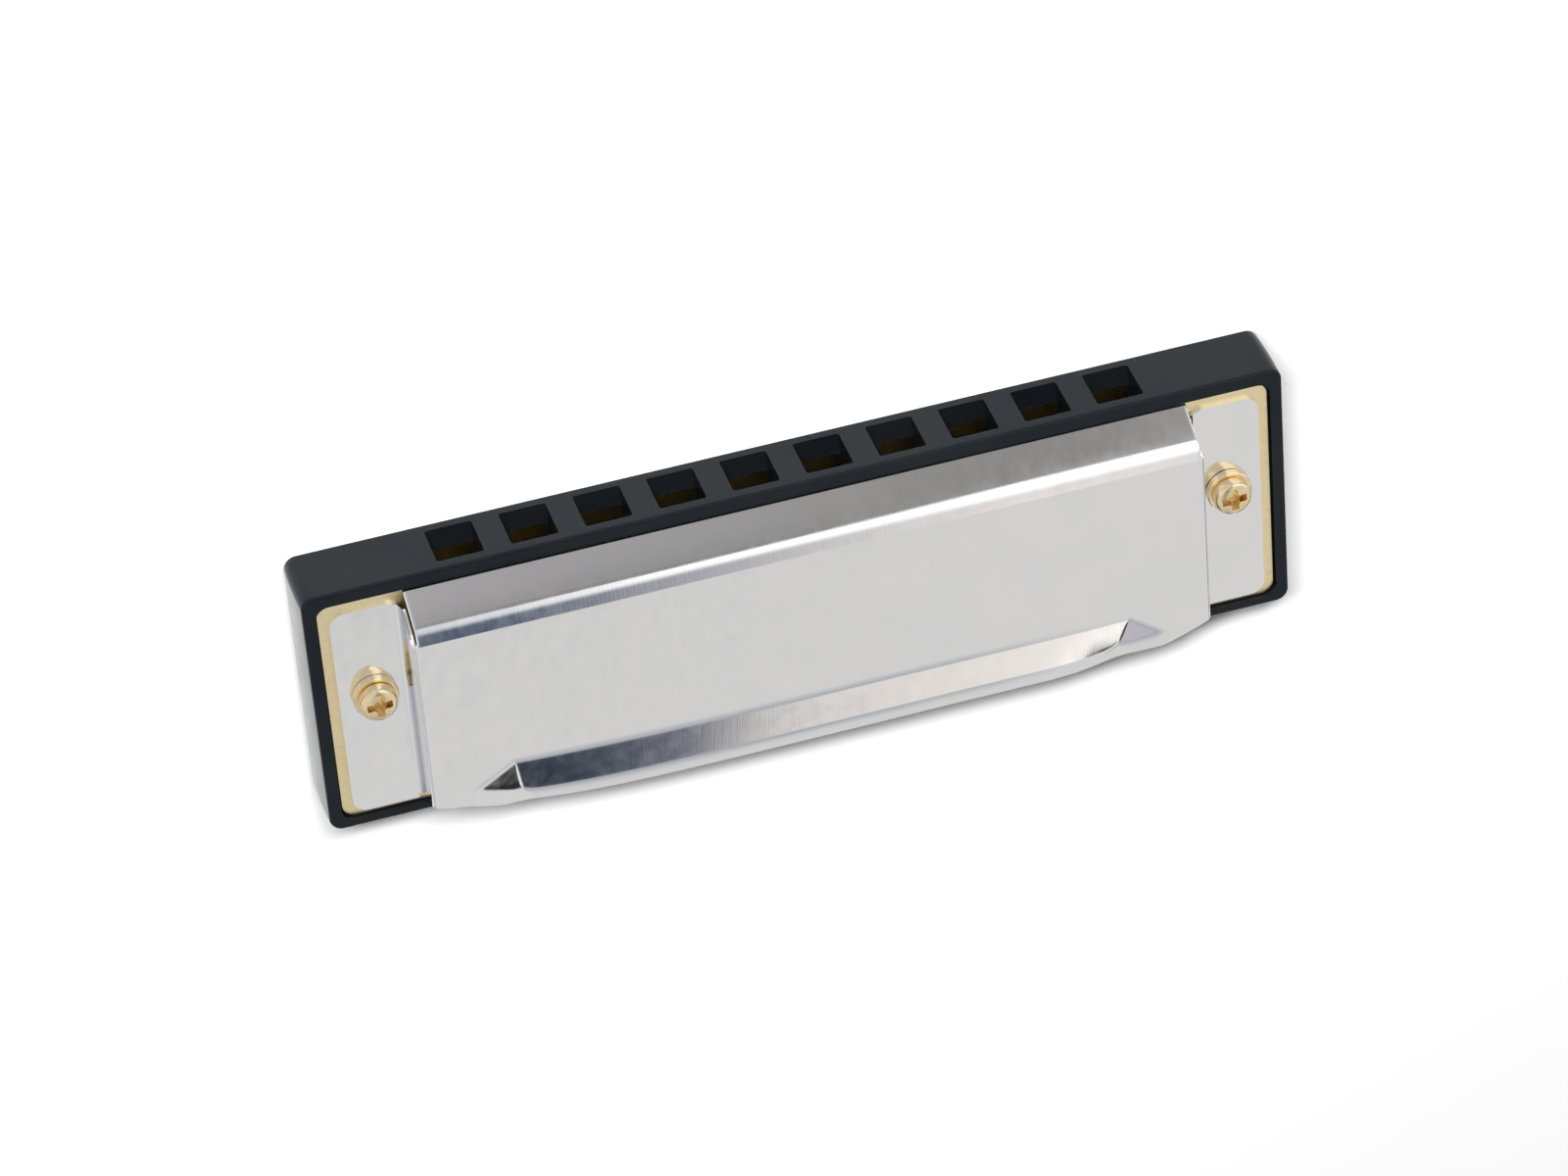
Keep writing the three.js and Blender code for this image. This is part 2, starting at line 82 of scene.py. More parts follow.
REED_WIDTH = 2.1
REED_TIP_WIDTH = 1.9
REED_GAP = 0.15
REED_EASE = 0.03  # the long edges of a reed are eased by this much
REED_THINNING = 0.09  # at the middle of a tongue's thinned part
REED_THINNED = 1.15  # that part is 1 / 1.15 of the tongue, from its clamped end
TIP_THINNING = 0.06  # at the tip of the highest note's tongue
TIP_START = 0.6  # as a share of the tongue
PAD_CORNER = 0.25
RIVET_RADIUS = 0.5
RIVET_HOLE = 0.6
RIVET_HEAD_RADIUS = 0.75

COVER_HIGH = span("upper_cover")[1]
SHEET = 0.4
COVER_TOP = COVER_HIGH.z
FLANGE_TOP = PLATE_HIGH.z + SHEET
FLANGE_END = COVER_HIGH.x
FLANGE_FRONT = -11.65
FLANGE_REAR = 12.85
FLANGE_CORNER = 1.5
FLANGE_BEND = 0.5
SLOPE_FOOT = 3.5
SLOPE_SIDE = 40.05
SLOPE_FOOT_ANGLE = math.radians(60)  # from the horizontal; the slope is very slightly crowned
SLOPE_TOP_ANGLE = math.radians(56.5)
SLOPE_SHARES = (0, 0.03, 0.2, 0.4, 0.6, 0.8, 0.97)
FRONT_BEND = 2.2
FRONT_BEND_END = -8.9
FRONT_BEND_STEPS = 14
CURL_START = 39.85  # the side edges of the slope roll over from here
CURL_REACH = 0.6  # along Y, from where the edge only rolls over to the full bend of the wall
WALL_X = 40.45
WALL_BEND = 0.42
WALL_BEND_STEPS = 7
WALL_FRONT = -8.75
WALL_REAR = 11.1
WALL_REAR_FOOT = 12.3
WALL_TURN_END = 0.7  # the wall's front edge runs into the flange's this far out
WALL_TURN_ROUND = 0.35  # 1 is a quarter of an ellipse, 0 is an even S
WALL_INSET = 0.4  # the wall's rear edge stays this far inside the flange's

# The thumb scoop pressed into the rear of a cover lies a little askew: its corners and tips, as
# (x, y), differ between the +X side, 1, and the -X side, -1.
SCOOP_DEPTH = 1.6
SCOOP_CREASE = 8.6
SCOOP_CORNERS = {1: (31.8, 7.8), -1: (31.8, 8.75)}
SCOOP_TIPS = {1: (36.0, 10.3), -1: (35.3, 11.4)}
SCOOP_FLOOR_X = 31.0
CREASE_BLEND = 0.16
VALLEY_BLEND = 0.01
END_BLEND = 0.5
TIP_OPEN = 0.1  # the mesh lines of the two creases are this far apart at the tip
UPPER_CREASE_END = WALL_REAR - 0.9  # where they come to the wall
LOWER_CREASE_END = WALL_REAR - 0.6
LIP_WIDTH = 1.25
LIP_NARROWS = {1: 0.2, -1: 0.0}  # how much narrower the lip is at the ends of the scoop
LIP_BOW = COVER_HIGH.y - WALL_REAR
LIP_BOW_POWER = 4.6
LIP_SWELLS = {1: (-0.6, 32.5, 40.4), -1: (0.5, 14.0, 36.0)}  # how far, from and to which x

SCREW_LOW, SCREW_HIGH = span("cover_screw_right")
SCREW_X, SCREW_Y = ((SCREW_LOW + SCREW_HIGH) / 2).xy
SCREW_RADIUS = 0.95
SCREW_HOLE = 1.3
SCREW_HEAD_RADIUS = SCREW_HIGH.x - SCREW_X
SCREW_HEAD = 1.4
SCREW_HEAD_ROUND = 0.42
RECESS_TOP = (2.75, 0.84)  # length and width
RECESS_FLOOR = (1.7, 0.6)
RECESS_DEPTH = 1.1
RECESS_PAST = 0.2
THREAD_PITCH = 0.4
THREAD_DEPTH = 0.17
THREAD_STEPS = 6  # for each turn
THREAD_POINT = 0.3  # the threaded end narrows over this length
THREAD_POINT_DEPTH = 0.25
WASHER_RADIUS = 2.3
WASHER_BORE = 1.15
WASHER_THICKNESS = 0.9
WASHER_WIRE = 0.8
WASHER_EASE = 0.07
WASHER_SPLIT = 0.04  # of a turn
NUT_FLATS = 4.0
NUT_BORE = 1.0
NUT_BEVEL = 0.28

TACK_X = (-33.75, 0, 33.75)
TACK_Y = 11.7
TACK_HOLE = 1.0
TACK_HEAD_RADIUS = 1.4
TACK_HEAD = 0.7
TACK_HEAD_ROUND = 0.3
TACK_SLOT = (0.4, 0.34)  # width and depth
TACK_RADIUS = 0.7
TACK_END = 0.4

PAST = 1.0  # cutters reach this far past what they cut
DRILL = 5.0  # half the length of the drills through the comb
CLEAR = 0.02  # faces that would lie in each other are this far apart
ON_FACE = 0.01  # a point this near a face is on it
SHARP_ANGLE = math.radians(35)
BEVEL_ANGLE = math.radians(50)


def hole_x(hole):
    return (hole - (len(HOLES) + 1) / 2) * PITCH


# ---- Mesh building ----
def steps(count, first=0.0, last=1.0):
    """count + 1 numbers from first to last."""
    return [first + (last - first) * i / count for i in range(count + 1)]


def solid(points, faces):
    bm = bmesh.new()
    verts = [bm.verts.new(point) for point in points]
    for face in faces:
        bm.faces.new([verts[i] for i in face])
    return bm


def joined(*parts):
    whole = bmesh.new()
    for part in parts:
        mesh = bpy.data.meshes.new("part")
        part.to_mesh(mesh)
        whole.from_mesh(mesh)
        bpy.data.meshes.remove(mesh)
        part.free()
    return whole


def moved(bm, x=0.0, y=0.0, z=0.0):
    bm.transform(Matrix.Translation((x, y, z)))
    return bm


def turned(bm, angle=math.pi, axis="Y"):
    bm.transform(Matrix.Rotation(angle, 4, axis))
    return bm


def loft(rings):
    """A closed solid through rings of equal length, each counter-clockwise seen from the last."""
    count = len(rings[0])
    faces = [list(reversed(range(count)))]
    for k in range(len(rings) - 1):
        for i in range(count):
            j = (i + 1) % count
            low, high = k * count, (k + 1) * count
            faces.append([low + i, low + j, high + j, high + i])
    faces.append([(len(rings) - 1) * count + i for i in range(count)])
    return solid([point for ring in rings for point in ring], faces)


def prism(outline, low, high):
    return loft([[(x, y, z) for x, y in outline] for z in (low, high)])


def box(x, y, z):
    return prism([(x[0], y[0]), (x[1], y[0]), (x[1], y[1]), (x[0], y[1])], *z)


def circle(radius, count=32, x=0.0, y=0.0):
    return [
        (x + radius * math.cos(a), y + radius * math.sin(a))
        for a in steps(count, 0, 2 * math.pi)[:-1]
    ]


def rounded_rectangle(x, y, radius, count=6):
    outline = []
    corners = ((x[1], y[1], -1, -1), (x[0], y[1], 1, -1), (x[0], y[0], 1, 1), (x[1], y[0], -1, 1))
    for quarter, (cx, cy, sx, sy) in enumerate(corners):
        for a in steps(count, quarter * math.pi / 2, (quarter + 1) * math.pi / 2):
            outline.append((cx + radius * (sx + math.cos(a)), cy + radius * (sy + math.sin(a))))
    return outline


def lathe(profile, count=40):
    """A solid of revolution from (radius, z) pairs, lowest first, between two flat ends."""
    return loft([[(px, py, z) for px, py in circle(radius, count)] for radius, z in profile])


def arc(radius, z, size, first, last, count=5):
    """Points of a lathe profile round (radius, z), by angles in degrees from outward to up."""
    return [
        (radius + size * math.cos(a), z + size * math.sin(a))
        for a in steps(count, math.radians(first), math.radians(last))
    ]


def plain_object(bm, name="temporary"):
    mesh = bpy.data.meshes.new(name)
    bm.to_mesh(mesh)
    bm.free()
    made = bpy.data.objects.new(name, mesh)
    bpy.context.scene.collection.objects.link(made)
    return made


def cut(bm, *cutters, operation="DIFFERENCE"):
    """bm with each cutter taken away; the solids in one cutter stay clear of each other."""
    target = plain_object(bm)
    others = [plain_object(cutter) for cutter in cutters]
    for other in others:
        modifier = target.modifiers.new("cut", "BOOLEAN")
        modifier.operation = operation
        modifier.solver = "EXACT"
        modifier.object = other
    graph = bpy.context.evaluated_depsgraph_get()
    result = bmesh.new()
    result.from_object(target, graph)
    for used in [target, *others]:
        mesh = used.data
        bpy.data.objects.remove(used)
        bpy.data.meshes.remove(mesh)
    bmesh.ops.remove_doubles(result, verts=result.verts, dist=1e-4)
    return result


def smooth_step(share):
    return share * share * (3 - 2 * share)


def between(value, start, end, first, last):
    return first + (last - first) * (value - start) / (end - start)


def soft_min(a, b, blend):
    near = max(blend - abs(a - b), 0) / blend
    return min(a, b) - near * near * blend / 4


def piece(name, bm, finish, replaces, body="body", bevel=0.0, weighted=False):
    """Makes bm an object of the harmonica: in place, shaded, bevelled and riding on its body."""
    bm.transform(Matrix.Translation(MIDDLE) @ Matrix.Scale(MM, 4))
    made = plain_object(bm, name)
    made.data.materials.append(finish)
    made.data.shade_smooth()
    made.data.set_sharp_from_angle(angle=SHARP_ANGLE)
    if bevel:
        edge = made.modifiers.new("edge", "BEVEL")
        edge.width = bevel * MM
        edge.segments = 3
        edge.limit_method = "WEIGHT" if weighted else "ANGLE"
        edge.angle_limit = BEVEL_ANGLE
        edge.harden_normals = False
    normals = made.modifiers.new("normals", "WEIGHTED_NORMAL")
    normals.keep_sharp = True
    normals.weight = 80
    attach(made, body)
    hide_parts(*replaces)
    return made


# ---- Finishes ----
class Finish:
    """A Principled material whose colour, roughness and height can follow noise over the piece."""

    def __init__(self, name, colour, roughness, metallic=0.0, **constants):
        self.material = bpy.data.materials.new(name)
        self.material.use_nodes = True
        self.tree = self.material.node_tree
        self.shader = self.tree.nodes["Principled BSDF"]
        self.place = self.tree.nodes.new("ShaderNodeTexCoord").outputs["Object"]
        self.height = None
        self.shader.inputs["Base Color"].default_value = (*colour, 1)
        self.shader.inputs["Roughness"].default_value = roughness
        self.shader.inputs["Metallic"].default_value = metallic
        for socket, value in constants.items():
            self.shader.inputs[socket.replace("_", " ")].default_value = value

    def node(self, kind, inputs=None, **settings):
        made = self.tree.nodes.new(kind)
        for name, value in settings.items():
            setattr(made, name, value)
        for socket, value in (inputs or {}).items():
            if isinstance(value, bpy.types.NodeSocket):
                self.tree.links.new(value, made.inputs[socket])
            else:
                made.inputs[socket].default_value = value
        return made

    def noise(self, size, detail=2.0):
        """Noise from 0 to 1 whose blotches are about size = (x, y, z) millimetres."""
        scale = [1 / (length * MM) for length in size]
        place = self.node("ShaderNodeMapping", {"Vector": self.place, "Scale": scale})
        inputs = {"Vector": place.outputs[0], "Scale": 1.0, "Detail": detail, "Roughness": 0.6}
        return self.node("ShaderNodeTexNoise", inputs).outputs["Fac"]

    def spread(self, value, low, high, start=0.3, end=0.7):
        """value from start to end becomes low to high."""
        inputs = {"Value": value, "From Min": start, "From Max": end}
        inputs.update({"To Min": low, "To Max": high})
        return self.node("ShaderNodeMapRange", inputs).outputs["Result"]

    def vary_colour(self, value, other, start=0.3, end=0.7):
        """Mixes the base colour towards other where value is high."""
        now = self.shader.inputs["Base Color"]
        first = now.links[0].from_socket if now.links else tuple(now.default_value)
        share = self.spread(value, 0, 1, start, end)
        mix = self.node("ShaderNodeMix", data_type="RGBA")
        self.tree.links.new(share, mix.inputs["Factor"])
        if isinstance(first, tuple):
            mix.inputs["A"].default_value = first
        else:
            self.tree.links.new(first, mix.inputs["A"])
        mix.inputs["B"].default_value = (*other, 1)
        self.tree.links.new(mix.outputs["Result"], now)

    def vary_roughness(self, value, low, high):
        self.tree.links.new(self.spread(value, low, high), self.shader.inputs["Roughness"])

    def bump(self, value, depth):
        """Raises the surface by up to depth millimetres where value is high."""
        inputs = {"Height": value, "Distance": depth * MM, "Strength": 1.0}
        if self.height:
            inputs["Normal"] = self.height
        self.height = self.node("ShaderNodeBump", inputs).outputs["Normal"]
        self.tree.links.new(self.height, self.shader.inputs["Normal"])


def black_plastic():
    colour = (0.0045, 0.0058, 0.0074)
    finish = Finish("moulded_plastic", colour, 0.15, Specular_IOR_Level=0.18)
    finish.shader.inputs["Specular Tint"].default_value = (0.66, 0.87, 1.0, 1)
    finish.vary_colour(finish.noise((9, 9, 9)), (0.0074, 0.0084, 0.0095))
    finish.vary_roughness(finish.noise((3, 3, 3), 4), 0.12, 0.2)
    finish.bump(finish.noise((0.25, 0.25, 0.25), 3), 0.0009)
    finish.bump(finish.noise((14, 14, 6)), 0.03)
    return finish.material


def polished_steel():
    finish = Finish("polished_steel", (0.80, 0.80, 0.805), 0.1, 1.0)
    finish.vary_colour(finish.noise((5, 7, 5), 3), (0.825, 0.822, 0.815))
    finish.vary_roughness(finish.noise((1.4, 2.2, 2), 4), 0.07, 0.13)
    finish.bump(finish.noise((0.22, 14, 14), 2), 0.0012)
    finish.bump(finish.noise((11, 9, 9), 1), 0.008)
    return finish.material


def rolled_brass():
    finish = Finish("rolled_brass", (0.90, 0.745, 0.43), 0.3, 1.0)
    finish.vary_colour(finish.noise((6, 4, 4), 4), (0.93, 0.80, 0.52))
    finish.vary_colour(finish.noise((0.5, 0.5, 0.5), 3), (0.74, 0.60, 0.32), 0.55, 0.85)
    finish.vary_roughness(finish.noise((4, 0.4, 1), 3), 0.28, 0.36)
    finish.bump(finish.noise((3, 0.12, 0.3), 3), 0.004)
    return finish.material


def reed_brass():
    finish = Finish("reed_brass", (0.86, 0.70, 0.36), 0.27, 1.0)
    finish.vary_colour(finish.noise((0.6, 3, 1), 3), (0.80, 0.58, 0.27))
    finish.vary_roughness(finish.noise((0.2, 2, 1), 3), 0.2, 0.36)
    finish.bump(finish.noise((0.5, 0.06, 0.5), 2), 0.003)
    return finish.material


def gilt_steel():
    finish = Finish("gilt_steel", (0.92, 0.765, 0.50), 0.18, 1.0)
    finish.vary_colour(finish.noise((0.9, 0.9, 0.9), 3), (0.82, 0.65, 0.39))
    finish.vary_roughness(finish.noise((0.4, 0.4, 0.4), 3), 0.14, 0.24)
    finish.bump(finish.noise((0.25, 0.25, 0.25), 2), 0.006)
    return finish.material


def nickel():
    finish = Finish("nickel", (0.72, 0.70, 0.66), 0.25, 1.0)
    finish.vary_colour(finish.noise((1, 1, 1), 3), (0.62, 0.60, 0.56))
    finish.vary_roughness(finish.noise((0.4, 0.4, 0.4), 3), 0.18, 0.34)
    finish.bump(finish.noise((0.3, 0.3, 0.3), 2), 0.004)
    return finish.material


# ---- Comb ----
def reed_span(kind, hole):
    """Along Y: the clamp line and the tip of a reed's tongue, and which way it points."""
    low, high = span(f"{kind}_reed_{hole:02d}")
    return (high.y, low.y, -1) if kind == "blow" else (low.y, high.y, 1)


def rivet_y(kind, hole):
    low, high = span(f"{kind}_reed_foot_{hole:02d}")
    return (low.y + high.y) / 2


def fastener_holes(low, high):
    """Cutters for the cover screws and the plate screws."""
    holes = [prism(circle(SCREW_HOLE, 32, x, SCREW_Y), low, high) for x in (-SCREW_X, SCREW_X)]
    return holes + [prism(circle(TACK_HOLE, 24, x, TACK_Y), low, high) for x in TACK_X]


def comb_level(z):
    """The comb's outline at height z: its edges are rounded and its ends belly out."""
    over = max(abs(z) - (COMB.z - RIM_ROUND), 0) / RIM_ROUND
    edge = RIM_ROUND * (1 - math.sqrt(max(1 - over * over, 0)))
    end = edge + END_BULGE * (z / COMB.z) ** 2
    x, y = COMB.x - end, COMB.y - edge
    outline = rounded_rectangle((-x, x), (-y, y), COMB_CORNER - edge, 10)
    return [(px, py, z) for px, py in outline]


def comb():
    rounding = [COMB.z - RIM_ROUND * (1 - math.sin(a)) for a in steps(6, 0, math.pi / 2)]
    flat = steps(8, -rounding[0], rounding[0])
    levels = [-z for z in reversed(rounding)] + flat[1:-1] + rounding
    body = loft([comb_level(z) for z in levels])

    pocket_x = (PLATE_LOW.x - PLATE_GAP, PLATE_HIGH.x + PLATE_GAP)
    pocket_y = (PLATE_LOW.y - PLATE_GAP, PLATE_HIGH.y + PLATE_GAP)
    pocket = rounded_rectangle(pocket_x, pocket_y, PLATE_CORNER)
    pockets = joined(
        prism(pocket, PLATE_LOW.z, COMB.z + PAST), prism(pocket, -COMB.z - PAST, -PLATE_LOW.z)
    )
    mouths = []
    throats = []
    channels = []
    mouth_z = (-HOLE_HEIGHT / 2, HOLE_HEIGHT / 2)
    throat_z = (-THROAT_HEIGHT / 2, THROAT_HEIGHT / 2)
    throat_y = (THROAT_FRONT - THROAT_LAPS[0], THROAT_REAR + THROAT_LAPS[1])
    for hole in HOLES:
        x = hole_x(hole)
        width = (x - HOLE_WIDTH / 2, x + HOLE_WIDTH / 2)
        mouth = rounded_rectangle(width, mouth_z, HOLE_CORNER, 4)
        mouths.append(turned(prism(mouth, -THROAT_FRONT, COMB.y + PAST), math.pi / 2, "X"))
        rear = reed_span("blow", hole)[0] + CHANNEL_SPARE
        channel = rounded_rectangle(width, (THROAT_REAR, rear), CHANNEL_CORNER, 4)
        channels.append(prism(channel, -COMB.z, COMB.z))
        throats.append(box(width, throat_y, throat_z))
    holes = fastener_holes(-DRILL, DRILL)
    groups = (mouths, throats, channels, holes)
    made = cut(body, pockets, *(joined(*group) for group in groups))

    weight = made.edges.layers.float.new("bevel_weight_edge")
    for edge in made.edges:
        if len(edge.link_faces) != 2 or edge.calc_face_angle(0) < BEVEL_ANGLE:
            continue
        at_mouth = all(vert.co.y < -COMB.y + ON_FACE for vert in edge.verts)
        at_rim = all(abs(vert.co.z) > COMB.z - ON_FACE for vert in edge.verts)
        if at_mouth or at_rim:
            edge[weight] = 1.0
    return made


# ---- Reed plates ----
def reed_plate(kind):
    slots = []
    rivets = []
    half = REED_WIDTH / 2 + REED_GAP
    low, high = PLATE_LOW.z - PAST, PLATE_HIGH.z + PAST
    for hole in HOLES:
        x = hole_x(hole)
        clamp, tip, towards = reed_span(kind, hole)
        ends = sorted((clamp, tip + towards * REED_GAP))
        slots.append(box((x - half, x + half), ends, (low, high)))
        rivets.append(prism(circle(RIVET_HOLE, 24, x, rivet_y(kind, hole)), low, high))
    holes = fastener_holes(low, high)
    outline = rounded_rectangle(
        (PLATE_LOW.x, PLATE_HIGH.x), (PLATE_LOW.y, PLATE_HIGH.y), PLATE_CORNER, 8
    )
    return cut(prism(outline, PLATE_LOW.z, PLATE_HIGH.z), joined(*slots, *rivets, *holes))


# ---- Reeds ----
def reed_tongue(kind, hole):
    """A tongue, thinned along its middle and left heavier at its tip in the low notes."""
    low, high = span(f"{kind}_reed_{hole:02d}")
    clamp, tip, _ = reed_span(kind, hole)
    x = hole_x(hole)
    weight = (len(HOLES) - hole) / (len(HOLES) - 1)
    ease = REED_EASE
    rings = []
    for t in steps(24):
        y = clamp + (tip - clamp) * t
        half = (REED_WIDTH + (REED_TIP_WIDTH - REED_WIDTH) * t) / 2
        thinned = REED_THINNING * math.sin(math.pi * min(t * REED_THINNED, 1)) ** 2
        tip_cut = (1 - weight) * TIP_THINNING * max(t - TIP_START, 0) / (1 - TIP_START)
        under = low.z + thinned + tip_cut
        rings.append(
            [
                (x - half + ease, y, under),
                (x + half - ease, y, under),
                (x + half, y, under + ease),
                (x + half, y, high.z - ease),
                (x + half - ease, y, high.z),
                (x - half + ease, y, high.z),
                (x - half, y, high.z - ease),
                (x - half, y, under + ease),
            ]
        )
    made = loft(rings)
    bmesh.ops.recalc_face_normals(made, faces=made.faces)
    return made


def reed_foot(kind, hole):
    """The clamped end of a reed, with its rivet through the plate."""
    low, high = span(f"{kind}_reed_foot_{hole:02d}")
    x = hole_x(hole)
    plate_low = PLATE_LOW.z if kind == "blow" else -PLATE_HIGH.z
    plate_high = PLATE_HIGH.z if kind == "blow" else -PLATE_LOW.z
    reed_low = span(f"{kind}_reed_{hole:02d}")[0].z
    outline = rounded_rectangle((low.x, high.x), (low.y, high.y), PAD_CORNER, 3)
    pad = prism(outline, reed_low, plate_low)
    y = (low.y + high.y) / 2
    head = reed_low - low.z
    closed = high.z - plate_high
    radius = RIVET_HEAD_RADIUS
    profile = [
        (radius * 0.35, low.z),
        (radius * 0.75, low.z + head * 0.2),
        (radius, low.z + head * 0.7),
        (radius, reed_low),
        (RIVET_RADIUS, reed_low + 0.05),
        (RIVET_RADIUS, plate_high - CLEAR),
        (radius, plate_high),
        (radius, plate_high + closed * 0.5),
        (radius * 0.7, high.z),
    ]
    return joined(pad, moved(lathe(profile, 20), x, y))


# ---- Covers ----
def lip_edge(x, side):
    """Rear edge of a cover in plan, bowed outwards."""
    swell, start, end = LIP_SWELLS[side]
    swell *= math.sin(math.pi * min(max((x - start) / (end - start), 0), 1)) ** 2
    bow = LIP_BOW * (1 - min(x / WALL_X, 1) ** LIP_BOW_POWER)
    return WALL_REAR + min(bow + swell, LIP_BOW)


def lip_start(x, side):
    """Where the lip along the rear edge begins."""
    narrower = LIP_NARROWS[side] * min(x / SCOOP_FLOOR_X, 1) ** 2
    return lip_edge(x, side) - LIP_WIDTH + narrower


def crease_y(x, side):
    """Y of the crease between the flat top and the scoop."""
    corner_x, corner_y = SCOOP_CORNERS[side]
    return SCOOP_CREASE + (corner_y - SCOOP_CREASE) * min(x / corner_x, 1) ** 2


def rear_lines(x, side):
    """Where column x on one side crosses the upper crease, the lower crease and the rear edge."""
    corner_x, corner_y = SCOOP_CORNERS[side]
    tip_x, tip_y = SCOOP_TIPS[side]
    edge = lip_edge(x, side)
    if x <= SCOOP_FLOOR_X:
        return crease_y(x, side), lip_start(x, side), edge
    if x > tip_x:
        upper = between(x, tip_x, WALL_X, tip_y, UPPER_CREASE_END)
        return upper, between(x, tip_x, WALL_X, tip_y + TIP_OPEN, LOWER_CREASE_END), edge
    start = lip_start(SCOOP_FLOOR_X, side)
    lower = between(x, SCOOP_FLOOR_X, tip_x, start, tip_y + TIP_OPEN)
    if x <= corner_x:
        return crease_y(x, side), lower, edge
    return between(x, corner_x, tip_x, corner_y, tip_y), lower, edge


def facet_corners(side):
    """(x, y, depth) of the corners of the facet that closes one end of the scoop."""
    floor = Vector((SCOOP_FLOOR_X, lip_start(SCOOP_FLOOR_X, side), SCOOP_DEPTH))
    return Vector((*SCOOP_CORNERS[side], 0)), floor, Vector((*SCOOP_TIPS[side], 0))


def press(x, y, side):
    """How far the rear of a cover is pressed down at (x, y) on one side; x is counted outwards."""
    corner, floor, tip = facet_corners(side)
    normal = (tip - corner).cross(floor - corner)
    facet = -(normal.x * (x - corner.x) + normal.y * (y - corner.y)) / normal.z
    lower = rear_lines(min(x, SCOOP_FLOOR_X), side)[1]
    crease = crease_y(x, side)
    strip = SCOOP_DEPTH * (y - crease) / (lower - crease)
    lip = SCOOP_DEPTH * (tip.x - x) / (tip.x - SCOOP_FLOOR_X)
    lip = soft_min(lip, SCOOP_DEPTH, END_BLEND)
    depth = soft_min(soft_min(strip, facet, VALLEY_BLEND), lip, CREASE_BLEND)
    return max(-soft_min(-depth, 0, CREASE_BLEND), 0)


def front_profile():
    """(y, z, lean) from the foot of the slope to the start of the flat top; lean is the angle
    between the surface and the horizontal."""
    top_y = FRONT_BEND_END - FRONT_BEND * math.sin(SLOPE_TOP_ANGLE)
    top_z = COVER_TOP - FRONT_BEND * (1 - math.cos(SLOPE_TOP_ANGLE))
    fall = math.cos(SLOPE_TOP_ANGLE) - math.cos(SLOPE_FOOT_ANGLE)
    radius = (top_z - SLOPE_FOOT) / fall
    points = []
    for share in SLOPE_SHARES:
        lean = SLOPE_FOOT_ANGLE + (SLOPE_TOP_ANGLE - SLOPE_FOOT_ANGLE) * share
        y = top_y - radius * (math.sin(lean) - math.sin(SLOPE_TOP_ANGLE))
        z = top_z - radius * (math.cos(SLOPE_TOP_ANGLE) - math.cos(lean))
        points.append((y, z, lean))
    for lean in steps(FRONT_BEND_STEPS, SLOPE_TOP_ANGLE, 0):
        y = FRONT_BEND_END - FRONT_BEND * math.sin(lean)
        points.append((y, COVER_TOP - FRONT_BEND * (1 - math.cos(lean)), lean))
    points.append((WALL_FRONT - 0.1, COVER_TOP, 0.0))
    return points


# How the mesh of a cover is spaced: along Y over its top, its scoop and its lip, and along X.
TOP_SHARES = (0, 0.006, 0.05, 0.2, 0.4, 0.6, 0.8, 0.92, 0.96, 0.975, 0.985, 0.995)
STRIP_SHARES = (0, 0.02, 0.05, 0.08, 0.14, 0.3, 0.5, 0.7, 0.86, 0.92, 0.95, 0.98)
LIP_SHARES = (0, 0.06, 0.12, 0.2, 0.4, 0.7, 0.94, 1)
INSIDE_X = (
    [0, 3.5, 7, 10.5, 14, 17.5, 21, 24, 26.5, 28.2, 29.4, 30.2, 30.6]
    + steps(30, 30.88, 31.92)
    + steps(17, 32.15, 36.4)
    + [36.8, 37.6, 38.6, 39.3, 39.6]
)


def top_rows(x, side):
    """Y of each row on the top of the cover at column x, front to rear."""
    upper, lower, edge = rear_lines(x, side)
    rows = [WALL_FRONT + (upper - WALL_FRONT) * share for share in TOP_SHARES]
    rows += [upper + (lower - upper) * share for share in STRIP_SHARES]
    return rows + [lower + (edge - lower) * share for share in LIP_SHARES]


def inside_column(x, side, front):
    """A column between the end walls, from the foot of the slope to the rear."""
    points = [Vector((x, y, z)) for y, z, _ in front]
    points += [Vector((x, y, COVER_TOP - press(x, y, side))) for y in top_rows(x, side)]
    return points + [Vector((x, lip_edge(x, side) + 1, COVER_TOP))]


def rolled_column(share, side, front):
    """A column round the bend between the top and an end wall; share is how far round it is. Along
    the slope, the edge only rolls over a little."""
    curl = math.asin((SLOPE_SIDE - CURL_START) / WALL_BEND)
    start = WALL_X - WALL_BEND
    points = []
    for y, z, lean in front:
        full = smooth_step(min(max((y - WALL_FRONT + CURL_REACH) / CURL_REACH, 0), 1))
        angle = share * (curl + (math.pi / 2 - curl) * full)
        x = CURL_START + (start - CURL_START) * full + WALL_BEND * math.sin(angle)
        drop = WALL_BEND * (1 - math.cos(angle))
        points.append(Vector((x, y + drop * math.sin(lean), z - drop * math.cos(lean))))
    angle = share * math.pi / 2
    x = start + WALL_BEND * math.sin(angle)
    z = COVER_TOP - WALL_BEND * (1 - math.cos(angle))
    rows = top_rows(x, side)
    points += [Vector((x, y, z)) for y in rows]
    return points + [Vector((x, rows[-1] + 1, z))]


